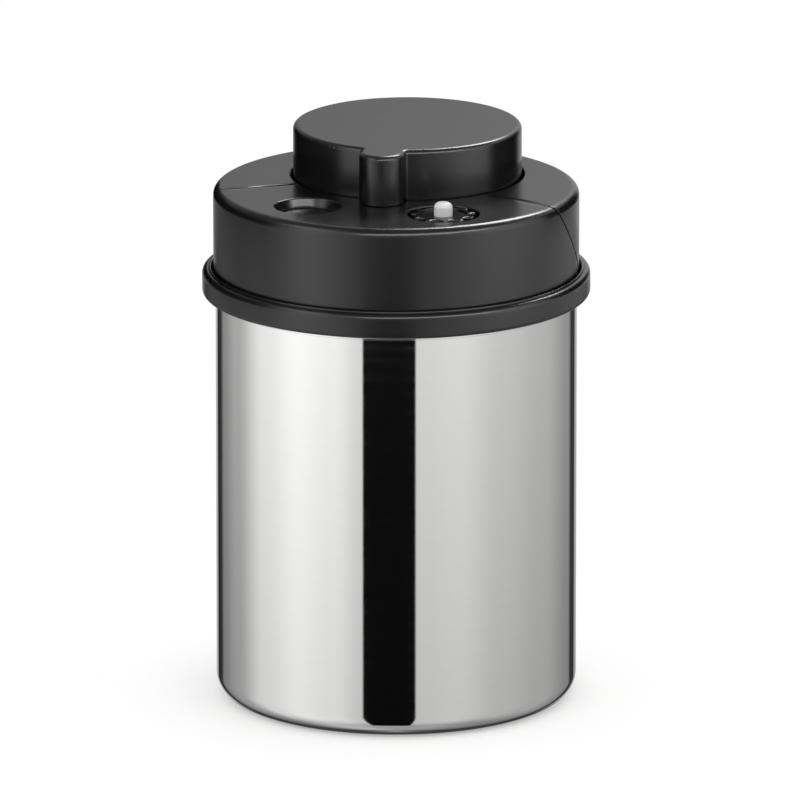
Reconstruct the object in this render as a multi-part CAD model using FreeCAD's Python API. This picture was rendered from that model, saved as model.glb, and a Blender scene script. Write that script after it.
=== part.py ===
"""Vacuum seal canister: a polished steel can closed by a lid with a hand pump.

Millimetres, +Z up, origin at the centre of the ring that the can stands on. The front is -Y, where the
release button (left) and the vacuum indicator (right) lie ahead of the pump knob.
"""

import FreeCAD
import Part
import math
import os

from FreeCAD import Vector

# Can
can_radius = 58.0
can_height = 132.8  # to the top of the rolled lip
can_wall = 0.7
can_corner = 4.5  # outside radius where the wall turns into the base
standing_ring = 8.0  # width of the flat ring that carries the can
base_recess = 1.6  # rise of the base panel above the ring
lip_roll = 0.9  # radius of the rolled lip

# Lid base
seat_gap = 0.3  # rolled lip to flange
flange_height = 8.6
flange_round = 1.8
flange_foot_round = 1.5
flange_ledge = 0.2  # flat between the ridge and the outer round
flange_ridge = 1.0  # width of the raised edge beside the covers
flange_step = 0.5  # height of that edge
deck_thickness = 2.4
plug_gap = 1.1  # plug to the inside of the can
plug_wall = 3.4
plug_depth = 14.0
spigot_wall = 1.6
spigot_height = 9.2
gasket_height = 5.0
gasket_depth = 1.6
gasket_gap = 0.3  # gasket lip to the can
gasket_lip = 1.4  # height of each lip at its root

# Covers
cover_step = 0.65  # cover radius beyond the can
cover_rise = 26.3  # cover top above the flange
cover_wall = 2.0
cover_top = 2.2
cover_round = 2.8
channel_gap = 0.6  # cover to the flange's raised edge
fit_gap = 0.3  # cover to the spigot and to the pump well
seam_gap = 0.35
seam_apex = 10.4  # where the two seam planes meet on the top, behind the lid's axis
seam_sweep = 27.0  # degrees, how far each seam runs forward
seam_lean = 45.0  # degrees from upright
hole_round = 0.6
boss_radius = 3.2
boss_front_angle = 57.0  # degrees from the front
boss_rear_angle = 95.0

# Knob and pump well
front_land = 39.2  # knob to the front edge of the covers
knob_rise = 16.4
knob_gap = 0.85
knob_wall = 2.0
knob_top = 2.4
knob_round = 1.1
nose_radius = 7.2
nose_reach = 10.0  # front of the nose beyond the knob's wall
nose_blend = 1.0
well_wall = 1.5
stop_gap = 0.3  # knob to what it comes down on

# Pump
stroke = 20.0
bore_radius = 18.0
cylinder_wall = 2.0
cylinder_floor = 2.5
cylinder_flange = 7.2  # width of the flange beyond the tube
flange_thickness = 3.0
seal_ring = 0.9  # section radius of the cylinder's gasket
piston_height = 8.0
piston_gap = 0.6
seal_height = 3.4
seal_depth = 2.2
seal_gap = 0.1
lift_gap = 1.5  # piston to the deck at full stroke
rod_radius = 5.0
rod_tongue = 3.0  # radius of the rod's end inside the piston
rod_boss = 5.0  # height of the knob's bosses for the rod
run_gap = 0.1
bush_wall = 2.0
bush_flange = 2.0
bush_height = 7.5  # above the deck
vent_radius = 1.5
vent_count = 4
cylinder_screw_count = 4
rod_screw_count = 3

# Inlet valve
inlet_radius = 8.0
inlet_thickness = 1.2
inlet_stem = 2.0
inlet_hole = 1.2
inlet_hole_ring = 5.2
inlet_hole_count = 6
inlet_bulb = 3.0
inlet_gap = 0.8  # piston to the valve at rest

# Release valve and vacuum indicator
valve_angle = 23.9  # degrees from the front, about the knob's axis
valve_gap = 6.0  # knob hole to the nearer edge of each well
release_radius = 9.3
release_flare = 1.4  # top of the well beyond its bore
release_depth = 3.2
release_dish = 1.2
release_cap = 3.2
release_skirt = 4.0
release_stem = 2.5
release_neck = 2.0
stem_gap = 0.5
guide_wall = 1.6
guide_height = 14.0
collar_wall = 1.5
collar_depth = 11.0
plug_disc = 6.5
plug_disc_thickness = 2.2
clip_radius = 4.2
clip_thickness = 0.8
seal_face_gap = 0.1
release_wire = 0.8
release_turns = 7.0

indicator_collar = 5.0
nut_gap = 1.0  # nut to its well in the cover
nut_dish = 0.5  # hollow inside the nut's raised rim
nut_rim = 0.8  # width of that rim at the hollows
nut_top = 2.0
nut_skirt = 6.0
nut_lobes = 11
nut_turn = 15.0  # degrees from the front, where a lobe came to rest
nut_flute = 1.9  # radius of the hollows between the lobes
nut_flute_depth = 2.0
nut_lobe_round = 0.7
nut_round = 0.35
tower_radius = 7.4
tower_wall = 1.6
thread_gap = 0.2
nut_wall = 0.8  # between the thread and the hollows
pin_radius = 2.95
pin_rise = 3.7  # pin top above the cover top
pin_round = 1.7
pin_gap = 0.3
pin_foot = 4.3
pin_foot_thickness = 1.5
pin_travel = 2.9
diaphragm_thickness = 1.1
diaphragm_hub = 4.2
indicator_wire = 0.7
indicator_turns = 9.0
coil_inset = 0.25  # spring to the edge of the hub

# Screws
screw_radius = 1.25
screw_head = 2.6
screw_head_height = 1.8
pilot_gap = 0.05
clearance_gap = 0.35
screw_grip = 9.0  # length of thread in a boss
head_margin = 1.7  # screw head to the wall or edge beside it

# Heights and radii that follow
flange_bottom = can_height + seat_gap
deck_top = flange_bottom + deck_thickness
flange_top = flange_bottom + flange_height
lid_top = flange_top + cover_rise
knob_crown = lid_top + knob_rise
plug_bottom = flange_bottom - plug_depth
spigot_top = deck_top + spigot_height

can_inner = can_radius - can_wall
plug_outer = can_inner - plug_gap
plug_inner = plug_outer - plug_wall
cover_radius = can_radius + cover_step
cover_inner = cover_radius - cover_wall
spigot_outer = cover_inner - fit_gap
ridge_inner = cover_radius + channel_gap
ridge_outer = ridge_inner + flange_ridge
flange_radius = ridge_outer + flange_ledge + flange_round

rear_margin = cover_wall + fit_gap + well_wall + knob_gap
knob_radius = cover_radius - (front_land + rear_margin) / 2
knob_y = cover_radius - rear_margin - knob_radius
knob_hole = knob_radius + knob_gap
well_outer = knob_hole + well_wall
well_top = lid_top - cover_top - fit_gap
knob_ceiling = knob_crown - knob_top
nose_y = knob_y - knob_radius - nose_reach + nose_radius
knob_axis = Vector(0, knob_y, 0)


def valve_place(side, radius):
    """Centre of a well of this radius, ahead of the knob on one side."""
    distance = knob_hole + valve_gap + radius
    angle = math.radians(valve_angle)
    return Vector(side * distance * math.sin(angle), knob_y - distance * math.cos(angle), 0)


nut_outer = tower_radius + thread_gap + nut_wall + nut_flute_depth
indicator_radius = nut_outer + nut_gap
release_mouth = release_radius + release_flare
release_axis = valve_place(-1, release_mouth)
indicator_axis = valve_place(1, indicator_radius)

piston_top = flange_bottom - lift_gap - stroke
piston_bottom = piston_top - piston_height
cylinder_floor_top = piston_bottom - inlet_gap - inlet_thickness
cylinder_bottom = cylinder_floor_top - cylinder_floor
cylinder_outer = bore_radius + cylinder_wall
cylinder_rim = cylinder_outer + cylinder_flange
seal_ring_centre = cylinder_outer + 1.5 * seal_ring
cylinder_screw_ring = (seal_ring_centre + seal_ring + cylinder_rim) / 2
cylinder_boss_top = flange_bottom + screw_grip
knob_seat = cylinder_boss_top
pilot_radius = screw_radius + pilot_gap
clearance_radius = screw_radius + clearance_gap
bush_outer = rod_radius + run_gap + bush_wall
bush_rim = bush_outer + bush_wall
vent_ring = (bush_rim + bore_radius) / 2
rod_screw_ring = rod_radius + head_margin + screw_head
rod_flange = rod_screw_ring + screw_head + head_margin

release_top = lid_top - release_depth
release_ceiling = release_top - release_cap
release_button_radius = release_radius - fit_gap
release_skirt_inner = release_button_radius - collar_wall
guide_inner = release_stem + stem_gap
guide_outer = guide_inner + guide_wall
release_coil = (guide_outer + release_skirt_inner) / 2
indicator_coil = diaphragm_hub - coil_inset - indicator_wire / 2
plug_disc_top = flange_bottom - seal_face_gap
clip_top = plug_disc_top - plug_disc_thickness

nut_crown = lid_top
nut_ceiling = nut_crown - nut_top
pin_foot_top = nut_ceiling - pin_gap
pin_foot_bottom = pin_foot_top - pin_foot_thickness
hub_top = pin_foot_bottom - seal_face_gap
tower_top = hub_top - pin_travel - 2 * diaphragm_thickness


def cylinder(radius, bottom, top, axis=Vector(0, 0, 0)):
    return Part.makeCylinder(radius, top - bottom, axis + Vector(0, 0, bottom))


def tube(outer, inner, bottom, top, axis=Vector(0, 0, 0)):
    return cylinder(outer, bottom, top, axis).cut(cylinder(inner, bottom, top, axis))


def section(*steps):
    """Closed profile of (radius, height) points. A step of two points is an arc through the first."""
    edges = []
    here = Vector(steps[0][0], 0, steps[0][1])
    first = here
    for step in steps[1:]:
        if isinstance(step[0], tuple):
            through = Vector(step[0][0], 0, step[0][1])
            end = Vector(step[1][0], 0, step[1][1])
            edges.append(Part.Arc(here, through, end).toShape())
        else:
            end = Vector(step[0], 0, step[1])
            edges.append(Part.makeLine(here, end))
        here = end
    edges.append(Part.makeLine(here, first))
    return Part.Face(Part.Wire(edges))


def turned(*steps, axis=Vector(0, 0, 0)):
    """Solid of revolution of a profile about an upright axis."""
    solid = section(*steps).revolve(Vector(0, 0, 0), Vector(0, 0, 1), 360)
    solid.translate(axis)
    return solid


def corner(centre_r, centre_z, radius, degrees):
    """Point at an angle on a round of the profile."""
    angle = math.radians(degrees)
    return (centre_r + radius * math.cos(angle), centre_z + radius * math.sin(angle))


def ring_of(count, radius, axis, start=0.0):
    """Places spaced evenly on a circle."""
    places = []
    for index in range(count):
        angle = math.radians(start + 360.0 * index / count)
        places.append(axis + Vector(radius * math.cos(angle), radius * math.sin(angle), 0))
    return places


def circle_edge(shape, radius, axis, height):
    """The circular edge of this radius about this axis at this height."""
    for edge in shape.Edges:
        curve = edge.Curve
        if isinstance(curve, Part.Circle) and abs(curve.Radius - radius) < 1e-4:
            if (curve.Center - axis - Vector(0, 0, height)).Length < 1e-4:
                return edge
    raise ValueError("no such edge")


def upright_edge(shape, foot):
    """The straight vertical edge that rises from this point."""
    for edge in shape.Edges:
        ends = [vertex.Point for vertex in edge.Vertexes]
        upright = edge.BoundBox.XLength + edge.BoundBox.YLength < 1e-4
        rises = edge.BoundBox.ZMin > foot.z - 1e-4
        if upright and rises and min((end - foot).Length for end in ends) < 1e-4:
            return edge
    raise ValueError("no such edge")


def screw(place, seat, length):
    """Pan-head screw driven upward, its head under the seat."""
    face = seat - screw_head_height
    head = cylinder(screw_head, face, seat, place)
    head = head.makeFillet(screw_head_height / 3, [circle_edge(head, screw_head, place, face)])
    return head.fuse(cylinder(screw_radius, seat, seat + length, place)).removeSplitter()


def arc_from(start, tangent, end):
    """Arc that leaves the start along the tangent, with the tangent at its end."""
    chord = end - start
    side = chord - tangent * chord.dot(tangent)
    side.normalize()
    radius = chord.dot(chord) / (2 * chord.dot(side))
    centre = start + side * radius
    outward = (start + end) * 0.5 - centre
    outward.normalize()
    return Part.Arc(start, centre + outward * radius, end).toShape()


def coil_spring(axis, bottom, top, coil, wire, turns):
    """Open coil on quarter-turn biarcs, each a pair of arcs that share a tangent."""
    low = bottom + wire / 2
    climb = top - bottom - wire
    steps = int(round(turns * 4))
    rise = climb / (turns * 2 * math.pi)

    def place(index):
        angle = index * math.pi / 2
        return axis + Vector(coil * math.cos(angle), coil * math.sin(angle), low + rise * angle)

    def heading(index):
        angle = index * math.pi / 2
        way = Vector(-coil * math.sin(angle), coil * math.cos(angle), rise)
        way.normalize()
        return way

    edges = []
    for index in range(steps):
        start, end = place(index), place(index + 1)
        leave, arrive = heading(index), heading(index + 1)
        chord = end - start
        along = chord.dot(leave + arrive)
        bend = 1 - leave.dot(arrive)
        reach = (math.sqrt(along * along + 2 * bend * chord.dot(chord)) - along) / (2 * bend)
        middle = (start + end + (leave - arrive) * reach) * 0.5
        edges.append(arc_from(start, leave, middle))
        edges.append(arc_from(end, arrive * -1, middle))
    path = Part.Wire(Part.__sortEdges__(edges))
    rim = Part.Wire([Part.makeCircle(wire / 2, place(0), heading(0))])
    print("coil self-gap", round(climb / turns - wire, 2))
    return path.makePipeShell([rim], True, False)


def steel_can():
    """Deep-drawn can: recessed base panel, rounded corner, straight wall and rolled lip."""
    ring_inner = can_radius - can_corner - standing_ring
    slope = base_recess
    roll_r = can_inner + lip_roll
    roll_z = can_height - lip_roll
    inside_corner = can_corner - can_wall
    corner_r = can_radius - can_corner
    meet_z = roll_z - math.sqrt(lip_roll**2 - (roll_r - can_radius) ** 2)
    return turned(
        (0, base_recess),
        (ring_inner - slope, base_recess),
        (ring_inner, 0),
        (corner_r, 0),
        (corner(corner_r, can_corner, can_corner, -45), (can_radius, can_corner)),
        (can_radius, meet_z),
        (corner(roll_r, roll_z, lip_roll, -70), (roll_r + lip_roll, roll_z)),
        ((roll_r, can_height), (can_inner, roll_z)),
        (can_inner, can_corner),
        (corner(corner_r, can_corner, inside_corner, -45), (corner_r, can_wall)),
        (ring_inner, can_wall),
        (ring_inner - slope, base_recess + can_wall),
        (0, base_recess + can_wall),
    )


def cover_screw_places(angle):
    ring = plug_inner - screw_head - head_margin
    turn = math.radians(angle)
    return [Vector(side * ring * math.sin(turn), -ring * math.cos(turn), 0) for side in (-1, 1)]


def lid_base():
    """Flange, deck and plug in one, with the pump well, the valve tower and the button's guide."""
    groove_top = flange_bottom - (plug_depth - gasket_height) / 2
    groove_bottom = groove_top - gasket_height
    groove_r = plug_outer - gasket_depth
    outer_r = flange_radius - flange_round
    outer_z = flange_top - flange_step - flange_round
    foot_r = flange_radius - flange_foot_round
    foot_z = flange_bottom + flange_foot_round
    base = turned(
        (0, flange_bottom),
        (plug_inner, flange_bottom),
        (plug_inner, plug_bottom),
        (plug_outer, plug_bottom),
        (plug_outer, groove_bottom),
        (groove_r, groove_bottom),
        (groove_r, groove_top),
        (plug_outer, groove_top),
        (plug_outer, flange_bottom),
        (foot_r, flange_bottom),
        (corner(foot_r, foot_z, flange_foot_round, -45), (flange_radius, foot_z)),
        (flange_radius, outer_z),
        (corner(outer_r, outer_z, flange_round, 45), (outer_r, outer_z + flange_round)),
        (ridge_outer, flange_top - flange_step),
        (ridge_outer, flange_top),
        (ridge_inner, flange_top),
        (ridge_inner, deck_top),
        (spigot_outer, deck_top),
        (spigot_outer, spigot_top),
        (spigot_outer - spigot_wall, spigot_top),
        (spigot_outer - spigot_wall, deck_top),
        (0, deck_top),
    )
    well = cylinder(well_outer, flange_bottom, well_top, knob_axis)
    well = well.common(cylinder(spigot_outer - fit_gap, flange_bottom, well_top))
    base = base.fuse(well).cut(cylinder(knob_hole, knob_seat, well_top, knob_axis))
    base = base.cut(cylinder(knob_radius - knob_wall, deck_top, knob_seat, knob_axis))
    guide = cylinder(guide_outer, flange_bottom, deck_top + guide_height, release_axis)
    tower = cylinder(tower_radius, flange_bottom, tower_top, indicator_axis)
    posts = [guide, tower]
    holes = [
        cylinder(guide_inner, flange_bottom, deck_top + guide_height, release_axis),
        cylinder(tower_radius - tower_wall, deck_top, tower_top, indicator_axis),
        cylinder(vent_radius, flange_bottom, deck_top, indicator_axis),
        cylinder(bush_outer + pilot_gap, flange_bottom, deck_top, knob_axis),
    ]
    for place in ring_of(vent_count, vent_ring, knob_axis):
        holes.append(cylinder(vent_radius, flange_bottom, deck_top, place))
    for place in ring_of(cylinder_screw_count, cylinder_screw_ring, knob_axis, 45):
        posts.append(cylinder(boss_radius, flange_bottom, cylinder_boss_top, place))
        holes.append(cylinder(pilot_radius, flange_bottom, cylinder_boss_top, place))
    for angle in (boss_front_angle, boss_rear_angle):
        for place in cover_screw_places(angle):
            holes.append(cylinder(clearance_radius, flange_bottom, deck_top, place))
    return base.fuse(posts).cut(holes).removeSplitter()


def main_gasket():
    """Silicone ring in the plug's groove, with two lips that wipe the can."""
    top = flange_bottom - (plug_depth - gasket_height) / 2
    bottom = top - gasket_height
    back = plug_outer - gasket_depth
    edge = can_inner - gasket_gap
    return turned(
        (back, bottom),
        (plug_outer, bottom),
        (edge, bottom + gasket_lip),
        (plug_outer, bottom + gasket_lip),
        (plug_outer, top - gasket_lip),
        (edge, top - gasket_lip / 2),
        (plug_outer, top),
        (back, top),
    )


def seam_wedge(shift):
    """Everything ahead of the two slanting seam planes, moved back by a shift."""
    sweep = math.tan(math.radians(seam_sweep))
    lean = math.tan(math.radians(seam_lean))
    half = 2 * cover_radius
    above = cover_round
    height = lid_top - deck_top + 2 * above
    tip = seam_apex + shift - above * lean
    front = -half - height * lean
    level = lid_top + above
    points = [
        Vector(0, tip, level),
        Vector(half, tip - half * sweep, level),
        Vector(half, front, level),
        Vector(-half, front, level),
        Vector(-half, tip - half * sweep, level),
        Vector(0, tip, level),
    ]
    return Part.Face(Part.makePolygon(points)).extrude(Vector(0, height * lean, -height))


def cover_shell():
    """Skirt and top of both covers as one shell, with the knob's hole and the two wells."""
    round_in = max(cover_round - cover_wall, hole_round)
    ceiling = lid_top - cover_top
    shell = turned(
        (cover_inner, deck_top),
        (cover_radius, deck_top),
        (cover_radius, lid_top - cover_round),
        (
            corner(cover_radius - cover_round, lid_top - cover_round, cover_round, 45),
            (cover_radius - cover_round, lid_top),
        ),
        (0, lid_top),
        (0, ceiling),
        (cover_inner - round_in, ceiling),
        (
            corner(cover_inner - round_in, ceiling - round_in, round_in, 45),
            (cover_inner, ceiling - round_in),
        ),
    )
    root = lid_top - cover_top / 2
    collars = [
        cylinder(release_radius + collar_wall, lid_top - collar_depth, root, release_axis),
        cylinder(indicator_radius + collar_wall, lid_top - indicator_collar, root, indicator_axis),
    ]
    flare_foot = release_axis + Vector(0, 0, release_top)
    bores = [
        cylinder(knob_hole, deck_top, lid_top, knob_axis),
        cylinder(release_radius, deck_top, lid_top, release_axis),
        Part.makeCone(release_radius, release_mouth, release_depth, flare_foot),
        cylinder(indicator_radius, deck_top, lid_top, indicator_axis),
    ]
    shell = shell.fuse(collars).cut(bores).removeSplitter()
    edges = [
        circle_edge(shell, knob_hole, knob_axis, lid_top),
        circle_edge(shell, release_mouth, release_axis, lid_top),
        circle_edge(shell, indicator_radius, indicator_axis, lid_top),
    ]
    return shell.makeFillet(hole_round, edges)


def with_bosses(cover, angle):
    """Adds the two screw bosses that stand on the deck."""
    posts = []
    pilots = []
    for place in cover_screw_places(angle):
        posts.append(cylinder(boss_radius, deck_top, lid_top - cover_top / 2, place))
        pilots.append(cylinder(pilot_radius, deck_top, deck_top + 2 * screw_grip, place))
    return cover.fuse(posts).cut(pilots).removeSplitter()


def covers():
    """Front and rear cover, parted along the seam."""
    shell = cover_shell()
    sweep = math.tan(math.radians(seam_sweep))
    lean = math.tan(math.radians(seam_lean))
    shift = seam_gap * math.sqrt(1 + sweep**2 + lean**2) / 2
    front = with_bosses(shell.common(seam_wedge(-shift)), boss_front_angle)
    rear = with_bosses(shell.cut(seam_wedge(shift)), boss_rear_angle)
    return front, rear


def cover_screws():
    places = cover_screw_places(boss_front_angle) + cover_screw_places(boss_rear_angle)
    return Part.makeCompound([screw(place, flange_bottom, deck_thickness + screw_grip) for place in places])


def pump_knob():
    """Hollow knob that slides in the pump well, with its nose and the bosses for the rod."""
    foot = lid_top + stop_gap
    knob = cylinder(knob_radius, knob_seat + stop_gap, knob_crown, knob_axis)
    nose_axis = Vector(0, nose_y, 0)
    bridge = Part.makeBox(2 * nose_radius, knob_y - nose_y, knob_crown - foot)
    bridge.translate(Vector(-nose_radius, nose_y, foot))
    knob = knob.fuse([cylinder(nose_radius, foot, knob_crown, nose_axis), bridge]).removeSplitter()
    crease_y = knob_y - math.sqrt(knob_radius**2 - nose_radius**2)
    creases = [upright_edge(knob, Vector(side * nose_radius, crease_y, foot)) for side in (-1, 1)]
    knob = knob.makeFillet(nose_blend, creases)
    crown = [edge for edge in knob.Edges if edge.BoundBox.ZMin > knob_crown - 1e-4]
    knob = knob.makeFillet(knob_round, crown)
    hollows = [
        cylinder(knob_radius - knob_wall, deck_top, knob_ceiling, knob_axis),
        cylinder(nose_radius - knob_wall, foot, knob_ceiling, nose_axis),
    ]
    knob = knob.cut(hollows)
    posts = []
    pilots = []
    for place in ring_of(rod_screw_count, rod_screw_ring, knob_axis, 90):
        posts.append(cylinder(boss_radius, knob_ceiling - rod_boss, knob_crown - knob_top / 2, place))
        pilots.append(cylinder(pilot_radius, knob_ceiling - rod_boss, knob_ceiling, place))
    return knob.fuse(posts).cut(pilots).removeSplitter()


def piston_rod():
    """Rod with a flange under the knob's bosses and a tongue in the piston."""
    flange_top_z = knob_ceiling - rod_boss
    rod = cylinder(rod_radius, piston_top, flange_top_z, knob_axis)
    rod = rod.fuse(cylinder(rod_flange, flange_top_z - flange_thickness, flange_top_z, knob_axis))
    rod = rod.fuse(cylinder(rod_tongue, piston_top - piston_height / 2, piston_top, knob_axis))
    holes = [cylinder(pilot_radius, piston_top - piston_height / 2, piston_top + screw_grip, knob_axis)]
    for place in ring_of(rod_screw_count, rod_screw_ring, knob_axis, 90):
        holes.append(cylinder(clearance_radius, flange_top_z - flange_thickness, flange_top_z, place))
    return rod.cut(holes).removeSplitter()


def rod_screws():
    seat = knob_ceiling - rod_boss - flange_thickness
    places = ring_of(rod_screw_count, rod_screw_ring, knob_axis, 90)
    length = flange_thickness + rod_boss - pilot_gap
    return Part.makeCompound([screw(place, seat, length) for place in places])


def seal_band():
    """Bottom and top of the groove round the piston."""
    middle = piston_bottom + piston_height / 2
    return middle - seal_height / 2, middle + seal_height / 2


def piston():
    """Piston with a groove for its seal and a pocket for the head of its screw."""
    groove_bottom, groove_top = seal_band()
    rim = bore_radius - piston_gap
    body = turned(
        (0, piston_bottom),
        (rim, piston_bottom),
        (rim, groove_bottom),
        (rim - seal_depth, groove_bottom),
        (rim - seal_depth, groove_top),
        (rim, groove_top),
        (rim, piston_top),
        (0, piston_top),
        axis=knob_axis,
    )
    seat = piston_bottom + screw_head_height + pilot_gap
    holes = [
        cylinder(rod_tongue + pilot_gap, piston_top - piston_height / 2 - pilot_gap, piston_top, knob_axis),
        cylinder(clearance_radius, piston_bottom, piston_top, knob_axis),
        cylinder(screw_head + clearance_gap, piston_bottom, seat, knob_axis),
    ]
    return body.cut(holes)


def piston_seal():
    """Cup seal that opens upward: it holds on the way up and lets air past on the way down."""
    bottom, top = seal_band()
    rim = bore_radius - piston_gap
    back = rim - seal_depth + pilot_gap
    edge = bore_radius - seal_gap
    heel = back + seal_depth / 2
    return turned(
        (back, bottom + pilot_gap),
        (rim, bottom + pilot_gap),
        (edge, top - pilot_gap),
        (rim, top - pilot_gap),
        (heel, bottom + seal_height / 2),
        (back, bottom + seal_height / 2),
        axis=knob_axis,
    )


def piston_screw():
    seat = piston_bottom + screw_head_height + pilot_gap
    return screw(knob_axis, seat, piston_top + screw_grip - pilot_gap - seat)


def rod_bush():
    """Flanged bush that guides the rod through the deck."""
    neck = deck_top + bush_height
    bush = cylinder(bush_outer, flange_bottom, neck, knob_axis)
    bush = bush.fuse(cylinder(bush_rim, deck_top, deck_top + bush_flange, knob_axis))
    return bush.cut(cylinder(rod_radius + run_gap, flange_bottom, neck, knob_axis)).removeSplitter()


def pump_cylinder():
    """Cup under the deck: flange with a gasket groove, tube, and floor with the inlet holes."""
    shoulder = flange_bottom - flange_thickness
    groove = seal_ring + pilot_gap
    cup = turned(
        (0, cylinder_bottom),
        (cylinder_outer, cylinder_bottom),
        (cylinder_outer, shoulder),
        (cylinder_rim, shoulder),
        (cylinder_rim, flange_bottom),
        (seal_ring_centre + groove, flange_bottom),
        (seal_ring_centre + groove, flange_bottom - 2 * groove),
        (seal_ring_centre - groove, flange_bottom - 2 * groove),
        (seal_ring_centre - groove, flange_bottom),
        (bore_radius, flange_bottom),
        (bore_radius, cylinder_floor_top),
        (0, cylinder_floor_top),
        axis=knob_axis,
    )
    holes = [cylinder(inlet_stem + pilot_gap, cylinder_bottom, cylinder_floor_top, knob_axis)]
    for place in ring_of(inlet_hole_count, inlet_hole_ring, knob_axis):
        holes.append(cylinder(inlet_hole, cylinder_bottom, cylinder_floor_top, place))
    for place in ring_of(cylinder_screw_count, cylinder_screw_ring, knob_axis, 45):
        holes.append(cylinder(clearance_radius, shoulder, flange_bottom, place))
    inside_plug = cylinder(plug_inner - fit_gap, cylinder_bottom, flange_bottom)
    return cup.common(inside_plug).cut(holes)


def cylinder_gasket():
    centre = knob_axis + Vector(0, 0, flange_bottom - seal_ring - pilot_gap)
    return Part.makeTorus(seal_ring_centre, seal_ring, centre)


def cylinder_screws():
    seat = flange_bottom - flange_thickness
    length = flange_thickness + screw_grip - pilot_gap
    places = ring_of(cylinder_screw_count, cylinder_screw_ring, knob_axis, 45)
    return Part.makeCompound([screw(place, seat, length) for place in places])


def inlet_valve():
    """Umbrella valve: disc over the holes, stem through the floor and a bulb that holds it."""
    bulb_z = cylinder_bottom - inlet_bulb / 2
    disc_top = cylinder_floor_top + inlet_thickness
    return turned(
        (0, cylinder_bottom - inlet_bulb),
        (inlet_stem, cylinder_bottom - inlet_bulb),
        (inlet_bulb, bulb_z),
        (inlet_bulb, cylinder_bottom),
        (inlet_stem, cylinder_bottom),
        (inlet_stem, cylinder_floor_top),
        (inlet_radius, cylinder_floor_top),
        (inlet_radius, cylinder_floor_top + inlet_thickness / 2),
        (inlet_stem, disc_top),
        (0, disc_top),
        axis=knob_axis,
    )


def release_button():
    """Dished cap on a stem that reaches through the deck, with a neck for the clip."""
    skirt = release_ceiling - release_skirt
    neck_top = clip_top
    neck_bottom = clip_top - clip_thickness
    tip = neck_bottom - clip_thickness
    button = turned(
        (0, tip),
        (release_stem, tip),
        (release_stem, neck_bottom),
        (release_neck, neck_bottom),
        (release_neck, neck_top),
        (release_stem, neck_top),
        (release_stem, release_ceiling),
        (release_skirt_inner, release_ceiling),
        (release_skirt_inner, skirt),
        (release_button_radius, skirt),
        (release_button_radius, release_top),
        (0, release_top),
        axis=release_axis,
    )
    dish_rim = release_button_radius - hole_round
    ball = (dish_rim**2 + release_dish**2) / (2 * release_dish)
    return button.cut(Part.makeSphere(ball, release_axis + Vector(0, 0, release_top - release_dish + ball)))


def release_spring():
    return coil_spring(release_axis, deck_top, release_ceiling, release_coil, release_wire, release_turns)


def release_plug():
    """Silicone disc that the spring draws up against the underside of the deck."""
    return turned(
        (release_stem, clip_top),
        (plug_disc, clip_top + plug_disc_thickness / 2),
        (plug_disc, plug_disc_top),
        (release_stem, plug_disc_top),
        axis=release_axis,
    )


def release_clip():
    """Open ring in the neck of the stem."""
    bottom = clip_top - clip_thickness
    ring = tube(clip_radius, release_neck + pilot_gap, bottom + pilot_gap, clip_top, release_axis)
    slot = Part.makeBox(2 * clip_radius, 2 * release_neck, clip_thickness)
    slot.translate(release_axis + Vector(0, -release_neck, bottom))
    return ring.cut(slot)


def indicator_pin():
    """Round-topped pin on a foot that stops it under the nut."""
    crown = lid_top + pin_rise
    return turned(
        (0, pin_foot_bottom),
        (pin_foot, pin_foot_bottom),
        (pin_foot, pin_foot_top),
        (pin_radius, pin_foot_top),
        (pin_radius, crown - pin_round),
        (
            corner(pin_radius - pin_round, crown - pin_round, pin_round, 45),
            (pin_radius - pin_round, crown),
        ),
        (0, crown),
        axis=indicator_axis,
    )


def indicator_nut():
    """Scalloped cap that clamps the diaphragm on its tower."""
    clamp = tower_top + diaphragm_thickness
    bottom = tower_top - nut_skirt
    nut = cylinder(nut_outer, bottom, nut_crown, indicator_axis)
    flute_ring = nut_outer - nut_flute_depth + nut_flute
    start = nut_turn - 90 + 180 / nut_lobes
    flutes = [cylinder(nut_flute, bottom, nut_crown, place) for place in
              ring_of(nut_lobes, flute_ring, indicator_axis, start)]
    nut = nut.cut(flutes)
    reach = (nut_outer**2 + flute_ring**2 - nut_flute**2) / (2 * nut_outer * flute_ring)
    spread = math.degrees(math.acos(reach))
    foot_axis = indicator_axis + Vector(0, 0, bottom)
    feet = ring_of(nut_lobes, nut_outer, foot_axis, start - spread)
    feet += ring_of(nut_lobes, nut_outer, foot_axis, start + spread)
    nut = nut.makeFillet(nut_lobe_round, [upright_edge(nut, foot) for foot in feet])
    rim = [edge for edge in nut.Edges if edge.BoundBox.ZMin > nut_crown - 1e-4]
    nut = nut.makeFillet(nut_round, rim)
    bores = [
        cylinder(tower_radius + thread_gap, bottom, clamp, indicator_axis),
        cylinder(tower_radius - tower_wall / 2, bottom, nut_ceiling, indicator_axis),
        cylinder(pin_radius + pin_gap, bottom, nut_crown, indicator_axis),
        cylinder(nut_outer - nut_flute_depth - nut_rim, nut_crown - nut_dish, nut_crown, indicator_axis),
    ]
    return nut.cut(bores)


def indicator_diaphragm():
    """Thin dome clamped at its rim, with a thicker hub under the pin's foot."""
    rim_inner = tower_radius - tower_wall
    rim_top = tower_top + diaphragm_thickness
    return turned(
        (0, hub_top - diaphragm_thickness),
        (diaphragm_hub, hub_top - diaphragm_thickness),
        (rim_inner, tower_top),
        (tower_radius, tower_top),
        (tower_radius, rim_top),
        (rim_inner, rim_top),
        (diaphragm_hub, hub_top),
        (0, hub_top),
        axis=indicator_axis,
    )


def indicator_spring():
    top = hub_top - diaphragm_thickness
    return coil_spring(indicator_axis, deck_top, top, indicator_coil, indicator_wire, indicator_turns)


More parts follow.
